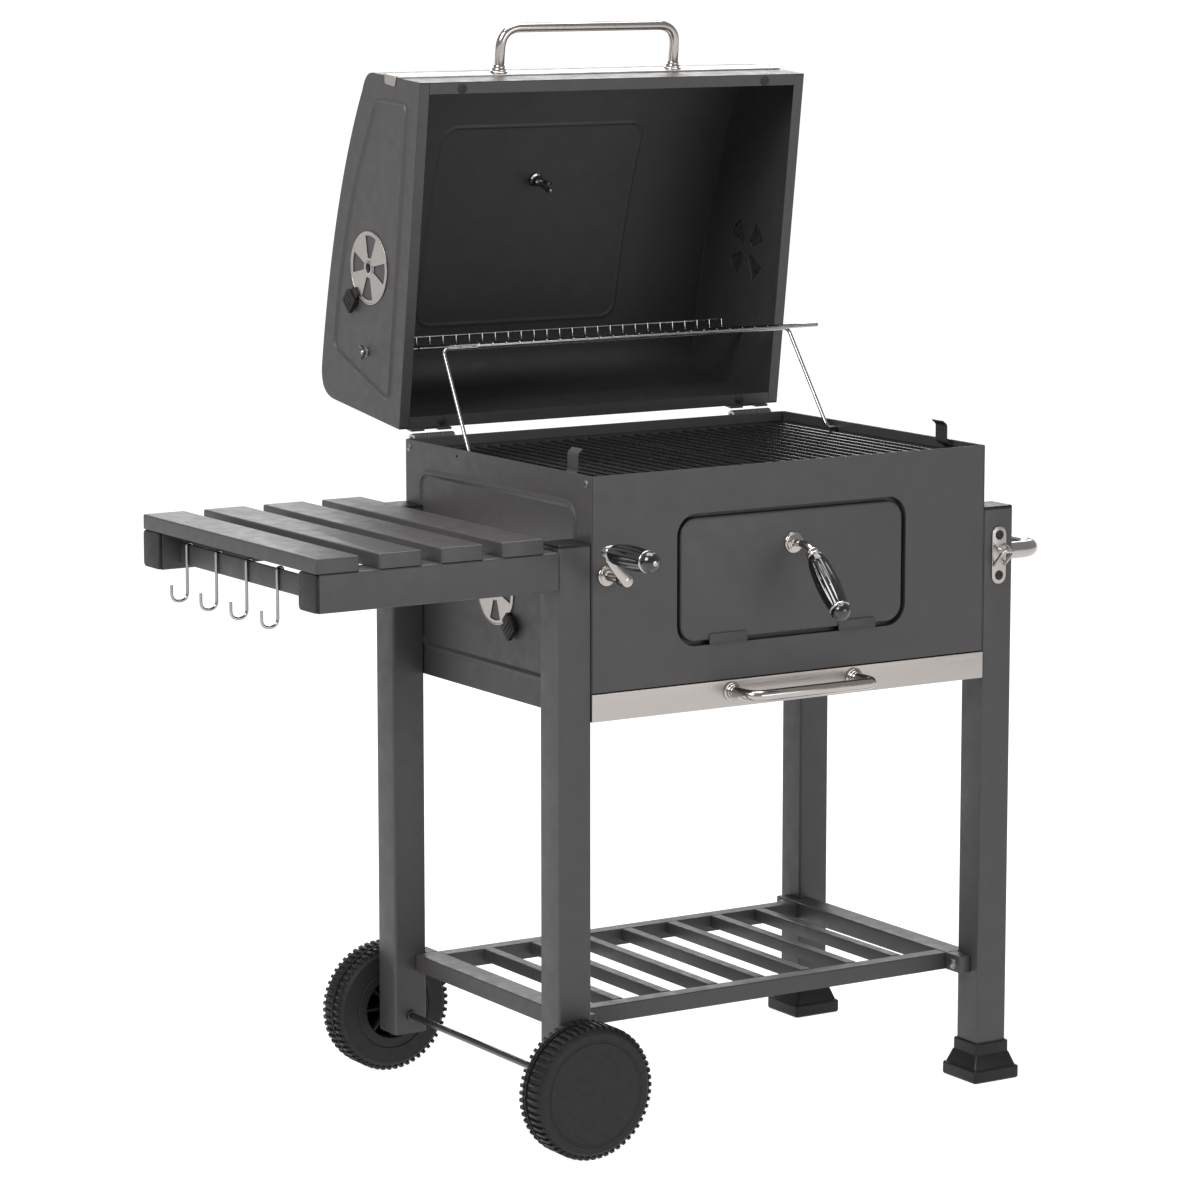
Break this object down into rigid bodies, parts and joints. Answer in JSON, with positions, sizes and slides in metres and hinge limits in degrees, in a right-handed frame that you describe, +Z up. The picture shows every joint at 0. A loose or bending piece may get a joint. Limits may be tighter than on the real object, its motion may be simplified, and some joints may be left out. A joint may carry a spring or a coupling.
{
  "type": "charcoal grill cart",
  "caption": "Wheeled charcoal grill cart: square firebox with a hinged hood, warming rack, lifting charcoal pan, ash drawer, fire door, slatted shelf and side table.",
  "frame": {"origin": "centre of the part's outer box, on the ground under the feet and wheels", "axes": "+Z up, -Y towards the front with the fire door, -X towards the side table"},
  "size_m": [1.081, 0.8288, 1.3608],
  "materials": {
    "grey_enamel": "anthracite heat-resistant paint, fine grain, satin",
    "black_enamel": "black heat-resistant paint, matt",
    "grate_steel": "dark enamelled steel bars, semi-gloss",
    "stainless": "brushed stainless steel",
    "chrome_wire": "bright plated wire",
    "black_plastic": "black moulded plastic, satin",
    "wheel_plastic": "black moulded plastic with a ribbed tread"
  },
  "bodies": {
    "cart": {"firebox_left": "grey_enamel", "firebox_right": "grey_enamel", "firebox_front": "grey_enamel", "firebox_rear": "grey_enamel", "leg_front_left": "grey_enamel", "leg_rear_left": "grey_enamel", "leg_front_right": "grey_enamel", "leg_rear_right": "grey_enamel", "foot_front": "black_plastic", "foot_rear": "black_plastic", "wheel_axle": "black_enamel", "shelf_frame": "grey_enamel", "shelf_slat_1": "grey_enamel", "shelf_slat_2": "grey_enamel", "shelf_slat_3": "grey_enamel", "shelf_slat_4": "grey_enamel", "shelf_slat_5": "grey_enamel", "shelf_slat_6": "grey_enamel", "shelf_slat_7": "grey_enamel", "table_beam_front": "grey_enamel", "table_beam_rear": "grey_enamel", "table_board_1": "grey_enamel", "table_board_2": "grey_enamel", "table_board_3": "grey_enamel", "table_board_4": "grey_enamel", "table_hook_rail": "grey_enamel", "table_hook_1": "chrome_wire", "table_hook_2": "chrome_wire", "table_hook_3": "chrome_wire", "table_hook_4": "chrome_wire", "push_handle": "stainless", "bottle_opener": "stainless", "cooking_grate_left": "grate_steel", "cooking_grate_right": "grate_steel", "hinge_fixed_left": "stainless", "hinge_fixed_right": "stainless"},
    "lid": {"lid_left": "grey_enamel", "lid_right": "grey_enamel", "lid_wrap": "grey_enamel", "lid_trim": "stainless", "lid_handle": "stainless", "lid_thermometer": "stainless", "hinge_lid_left": "stainless", "hinge_lid_right": "stainless"},
    "lid_vent_l": {"lid_vent_left": "stainless"},
    "lid_vent_r": {"lid_vent_right": "stainless"},
    "firebox_vent_l": {"firebox_vent_left": "stainless"},
    "firebox_vent_r": {"firebox_vent_right": "stainless"},
    "rack": {"warming_rack": "chrome_wire"},
    "bail": {"rack_bail": "chrome_wire"},
    "door": {"fire_door": "grey_enamel", "fire_door_pull": "black_plastic"},
    "drawer": {"ash_drawer_tray": "black_enamel", "ash_drawer_front": "stainless", "ash_drawer_handle": "stainless"},
    "crank": {"height_crank": "stainless"},
    "pan": {"charcoal_pan": "black_enamel", "charcoal_grate": "grate_steel"},
    "front_wheel": {"wheel_front": "wheel_plastic"},
    "rear_wheel": {"wheel_rear": "wheel_plastic"}
  },
  "joints": [
    {"name": "lid_hinge", "type": "hinge", "parent": "cart", "child": "lid", "pos_m": [0.13077, 0.20359, 0.829], "axis": [1, 0, 0], "range_deg": [0, 82.4]},
    {"name": "rack_swing", "type": "hinge", "parent": "lid", "child": "rack", "pos_m": [0.13077, 0.29015, 0.93639], "axis": [1, 0, 0], "range_deg": [-79.55, 0]},
    {"name": "bail_swing", "type": "hinge", "parent": "cart", "child": "bail", "pos_m": [0.13077, 0.06059, 0.824], "axis": [1, 0, 0], "range_deg": [0, 74.62]},
    {"name": "lid_vent_left_turn", "type": "hinge", "parent": "lid", "child": "lid_vent_l", "pos_m": [-0.16603, 0.28155, 1.04622], "axis": [1, 0, 0], "range_deg": [0, 45]},
    {"name": "lid_vent_right_turn", "type": "hinge", "parent": "lid", "child": "lid_vent_r", "pos_m": [0.42607, 0.28155, 1.04622], "axis": [1, 0, 0], "range_deg": [0, 45]},
    {"name": "firebox_vent_left_turn", "type": "hinge", "parent": "cart", "child": "firebox_vent_l", "pos_m": [-0.16603, -0.03441, 0.666], "axis": [1, 0, 0], "range_deg": [0, 45]},
    {"name": "firebox_vent_right_turn", "type": "hinge", "parent": "cart", "child": "firebox_vent_r", "pos_m": [0.42607, -0.03441, 0.666], "axis": [1, 0, 0], "range_deg": [0, 45]},
    {"name": "fire_door_hinge", "type": "hinge", "parent": "cart", "child": "door", "pos_m": [0.13077, -0.26041, 0.614], "axis": [1, 0, 0], "range_deg": [0, 95]},
    {"name": "ash_drawer_slide", "type": "slide", "parent": "cart", "child": "drawer", "axis": [0, -1, 0], "range_m": [0, 0.58]},
    {"name": "height_crank_turn", "type": "hinge", "parent": "cart", "child": "crank", "pos_m": [-0.14323, -0.25941, 0.711], "axis": [0, -1, 0], "range_deg": [0, 60]},
    {"name": "charcoal_pan_lift", "type": "slide", "parent": "cart", "child": "pan", "axis": [0, 0, 1], "range_m": [0, 0.0451]},
    {"name": "front_wheel_roll", "type": "hinge", "parent": "cart", "child": "front_wheel", "pos_m": [-0.18753, -0.26021, 0.084], "axis": [0, 1, 0], "continuous": true},
    {"name": "rear_wheel_roll", "type": "hinge", "parent": "cart", "child": "rear_wheel", "pos_m": [-0.18753, 0.19139, 0.084], "axis": [0, 1, 0], "continuous": true}
  ],
  "couplings": [
    {"joint": "rack_swing", "follows": "lid_hinge", "ratio": -0.9648},
    {"joint": "bail_swing", "follows": "lid_hinge", "ratio": 0.905},
    {"joint": "charcoal_pan_lift", "follows": "height_crank_turn", "m_per_rad": 0.042972}
  ]
}
